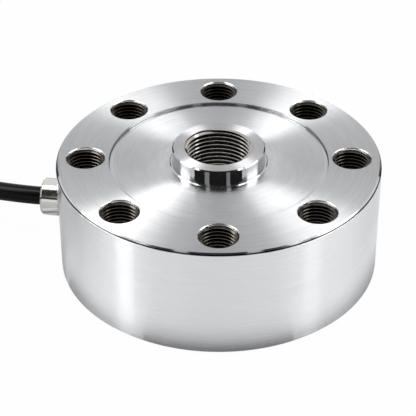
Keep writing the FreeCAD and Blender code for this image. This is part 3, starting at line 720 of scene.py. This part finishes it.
def make_floor():
    """A white floor that keeps a light shadow of the part."""
    material = bpy.data.materials.new("floor_white")
    material.use_nodes = True
    tree = material.node_tree
    tree.nodes.clear()
    paint = tree.nodes.new("ShaderNodeBsdfDiffuse")
    paint.inputs["Color"].default_value = (*FLOOR_PAINT, 1.0)
    glow = tree.nodes.new("ShaderNodeEmission")
    glow.inputs["Color"].default_value = (*WHITE, 1.0)
    glow.inputs["Strength"].default_value = 1.0
    share = tree.nodes.new("ShaderNodeMath")
    share.operation = "MULTIPLY"
    share.inputs[1].default_value = FLOOR_GLOW
    mix = tree.nodes.new("ShaderNodeMixShader")
    output = tree.nodes.new("ShaderNodeOutputMaterial")
    mirrored = tree.nodes.new("ShaderNodeMath")
    mirrored.operation = "MULTIPLY"
    mirrored.inputs[1].default_value = FLOOR_GLOW_MIRRORED
    most = tree.nodes.new("ShaderNodeMath")
    most.operation = "MAXIMUM"
    tree.links.new(seen_as(tree, DIRECT_RAYS), share.inputs[0])
    tree.links.new(seen_as(tree, ["Is Glossy Ray"]), mirrored.inputs[0])
    tree.links.new(share.outputs[0], most.inputs[0])
    tree.links.new(mirrored.outputs[0], most.inputs[1])
    tree.links.new(most.outputs[0], mix.inputs[0])
    tree.links.new(paint.outputs[0], mix.inputs[1])
    tree.links.new(glow.outputs[0], mix.inputs[2])
    tree.links.new(mix.outputs[0], output.inputs["Surface"])
    reach = FLOOR_REACH
    corners = [(-reach, -reach, 0), (reach, -reach, 0), (reach, reach, 0), (-reach, reach, 0)]
    floor = mesh_piece("floor", corners, [(0, 1, 2, 3)], material)
    floor.location.z = -FLOOR_DROP


make_floor()


def direction(azimuth, elevation):
    """A way out from the part: azimuth 0 towards the camera, 90 towards +X, elevation 0 level."""
    side = math.radians(azimuth)
    rise = math.radians(elevation)
    return Vector(
        (math.sin(side) * math.cos(rise), -math.cos(side) * math.cos(rise), math.sin(rise))
    )


STUDIO_CENTRE = Vector((0.0, 0.0, 30.0 * MM))
LAMP_DISTANCE = 0.9
LAMP_ELEVATION = 44.0
LAMP_WIDTH = 0.85
LAMP_HEIGHT = 0.50


def make_softbox(name, azimuth, power):
    data = bpy.data.lights.new(name, "AREA")
    data.shape = "RECTANGLE"
    data.size = LAMP_WIDTH
    data.size_y = LAMP_HEIGHT
    data.energy = power
    lamp = bpy.data.objects.new(name, data)
    way = direction(azimuth, LAMP_ELEVATION)
    lamp.location = STUDIO_CENTRE + way * LAMP_DISTANCE
    lamp.rotation_euler = way.to_track_quat("Z", "Y").to_euler()
    bpy.context.scene.collection.objects.link(lamp)


make_softbox("softbox_left", -78.0, power=4.8)
make_softbox("softbox_right", 81.0, power=5.9)


def make_card(name, verts, faces, glow_strength, one_sided=False):
    """A card seen only as a dark or bright shape in the metal, and if asked not from its back."""
    material = bpy.data.materials.new(name)
    material.use_nodes = True
    tree = material.node_tree
    tree.nodes.clear()
    glow = tree.nodes.new("ShaderNodeEmission")
    glow.inputs["Color"].default_value = (*WHITE, 1.0)
    glow.inputs["Strength"].default_value = glow_strength
    output = tree.nodes.new("ShaderNodeOutputMaterial")
    shown = glow.outputs[0]
    if one_sided:
        side = tree.nodes.new("ShaderNodeNewGeometry")
        clear = tree.nodes.new("ShaderNodeBsdfTransparent")
        either = tree.nodes.new("ShaderNodeMixShader")
        tree.links.new(side.outputs["Backfacing"], either.inputs[0])
        tree.links.new(shown, either.inputs[1])
        tree.links.new(clear.outputs[0], either.inputs[2])
        shown = either.outputs[0]
    tree.links.new(shown, output.inputs["Surface"])
    card = mesh_piece(name, verts, faces, material)
    card.visible_camera = False
    card.visible_diffuse = False
    card.visible_shadow = False
    card.visible_transmission = False


CURVED_CARD_STEPS = 12
CARD_DISTANCE = 0.8
COLUMN_DISTANCE = 0.38
STRIP_DISTANCE = 0.55
DARK = 0.02
COLUMN_GLOW = 1.3
TOP_GLOW = 1.5


def make_curved_card(name, azimuths, elevations, glow_strength, distance=CARD_DISTANCE):
    """A card on a sphere round the part, between two azimuths and two elevations."""
    verts = []
    for step in range(CURVED_CARD_STEPS + 1):
        azimuth = azimuths[0] + (azimuths[1] - azimuths[0]) * step / CURVED_CARD_STEPS
        for elevation in elevations:
            verts.append(tuple(STUDIO_CENTRE + direction(azimuth, elevation) * distance))
    faces = [
        (2 * step, 2 * step + 2, 2 * step + 3, 2 * step + 1) for step in range(CURVED_CARD_STEPS)
    ]
    make_card(name, verts, faces, glow_strength)


make_curved_card("flag_front", (-57.0, 57.0), (14.0, 70.0), DARK)
make_curved_card("flag_side_left", (-75.0, -57.0), (14.0, 46.0), DARK)
make_curved_card("flag_side_right", (57.0, 75.0), (14.0, 46.0), DARK)
make_curved_card("column_left", (-31.0, -21.0), (25.0, 46.0), COLUMN_GLOW, COLUMN_DISTANCE)
make_curved_card("column_right", (20.0, 30.0), (25.0, 46.0), COLUMN_GLOW, COLUMN_DISTANCE)

# Painted reflection: one-sided cards just above the cover, dark with two lighter columns, that the
# hub's wall mirrors in the place of the disc
HUB_CARD_HEIGHT = COVER_TOP + 0.3 * MM
HUB_CARD_REACH = 12.0 * MM
HUB_CARD_TURNS = (-31.0, -17.0, -11.5, 9.5, 14.0, 30.0)
HUB_CARD_GLOWS = (DARK, 0.4, DARK, 0.36, DARK)
MIRRORED_CARD_STEPS = 8


def make_mirrored_card(name, radius, turns, reaches, height, glow_strength, one_sided=False):
    """A level card between the ways that two upright lines of a round wall mirror to the camera."""
    verts = []
    for step in range(MIRRORED_CARD_STEPS + 1):
        turn = turns[0] + (turns[1] - turns[0]) * step / MIRRORED_CARD_STEPS
        foot = direction(turn, 0.0) * radius
        way = direction(2.0 * turn, 0.0)
        for reach in reaches:
            point = foot + way * reach
            verts.append((point.x, point.y, height))
    faces = [
        (2 * step, 2 * step + 1, 2 * step + 3, 2 * step + 2) for step in range(MIRRORED_CARD_STEPS)
    ]
    make_card(name, verts, faces, glow_strength, one_sided)


for part, glow in enumerate(HUB_CARD_GLOWS):
    make_mirrored_card(
        f"hub_painted_reflection_{part + 1}",
        HUB_RADIUS + SHARP,
        HUB_CARD_TURNS[part : part + 2],
        (0.0, HUB_CARD_REACH),
        HUB_CARD_HEIGHT,
        glow,
        one_sided=True,
    )

make_curved_card("strip_top_left", (-80.0, -12.0), (71.0, 86.0), TOP_GLOW)
make_curved_card("strip_top_right", (12.0, 80.0), (71.0, 86.0), TOP_GLOW)
make_curved_card("flag_rear_left", (-166.0, -132.0), (-10.0, 14.0), DARK)
make_curved_card("flag_rear_right", (132.0, 166.0), (-10.0, 14.0), DARK)
make_curved_card("strip_left", (-66.0, -54.0), (2.0, 23.0), 8.0, STRIP_DISTANCE)
make_curved_card("strip_right", (54.0, 66.0), (2.0, 23.0), 4.0, STRIP_DISTANCE)

SHADE_REACHES = (0.2 * MM, 4.5 * MM, 9.0 * MM, 14.0 * MM)
SHADE_HEIGHT = 0.1 * MM
SHADE_GLOWS = (0.3, 0.6, 0.9)
SHADE_STEPS = 96
FRONT_SHADE_HEIGHT = 0.2 * MM
FRONT_SHADE_TURNS = (-26.5, 26.5)
FRONT_SHADE_GLOWS = (0.12, 0.42, 0.8)


def make_floor_shade(name, inner, outer, glow_strength):
    """A ring close to the floor that the ring's wall mirrors as the shade at its foot."""
    verts = []
    for step in range(SHADE_STEPS):
        way = direction(360.0 * step / SHADE_STEPS, 0.0)
        for reach in (inner, outer):
            verts.append((reach * way.x, reach * way.y, SHADE_HEIGHT))
    count = len(verts)
    faces = [
        (2 * step, 2 * step + 1, (2 * step + 3) % count, (2 * step + 2) % count)
        for step in range(SHADE_STEPS)
    ]
    make_card(name, verts, faces, glow_strength)


for part, (glow, front_glow) in enumerate(zip(SHADE_GLOWS, FRONT_SHADE_GLOWS)):
    inner, outer = SHADE_REACHES[part : part + 2]
    make_floor_shade(f"floor_shade_{part + 1}", RING_RADIUS + inner, RING_RADIUS + outer, glow)
    make_mirrored_card(
        f"front_shade_{part + 1}",
        RING_RADIUS,
        FRONT_SHADE_TURNS,
        (inner, outer),
        FRONT_SHADE_HEIGHT,
        front_glow,
    )

# Painted reflection: cards on the floor that the ring's wall mirrors as a dark upright streak near
# its left end. Turns, height and glow of each
SIDE_DARK_REFLECTIONS = {
    "side_dark_reflection_soft": ((-78.0, -68.5), 0.3 * MM, 0.62),
    "side_dark_reflection_core": ((-75.5, -71.0), 0.4 * MM, 0.3),
}
SIDE_DARK_REFLECTION_REACHES = (0.3 * MM, 60.0 * MM)
for name, (turns, height, glow) in SIDE_DARK_REFLECTIONS.items():
    make_mirrored_card(name, RING_RADIUS, turns, SIDE_DARK_REFLECTION_REACHES, height, glow)

CABLE_CARD = [(-0.24, -0.01), (-0.08, -0.01), (-0.08, 0.04), (-0.24, 0.04)]
CABLE_CARD_HEIGHT = 0.16
CABLE_CARD_GLOW = 7.0
cable_card_verts = [(x, y, CABLE_CARD_HEIGHT) for x, y in CABLE_CARD]
make_card("cable_strip", cable_card_verts, [(0, 1, 2, 3)], CABLE_CARD_GLOW)

bpy.context.view_layer.update()
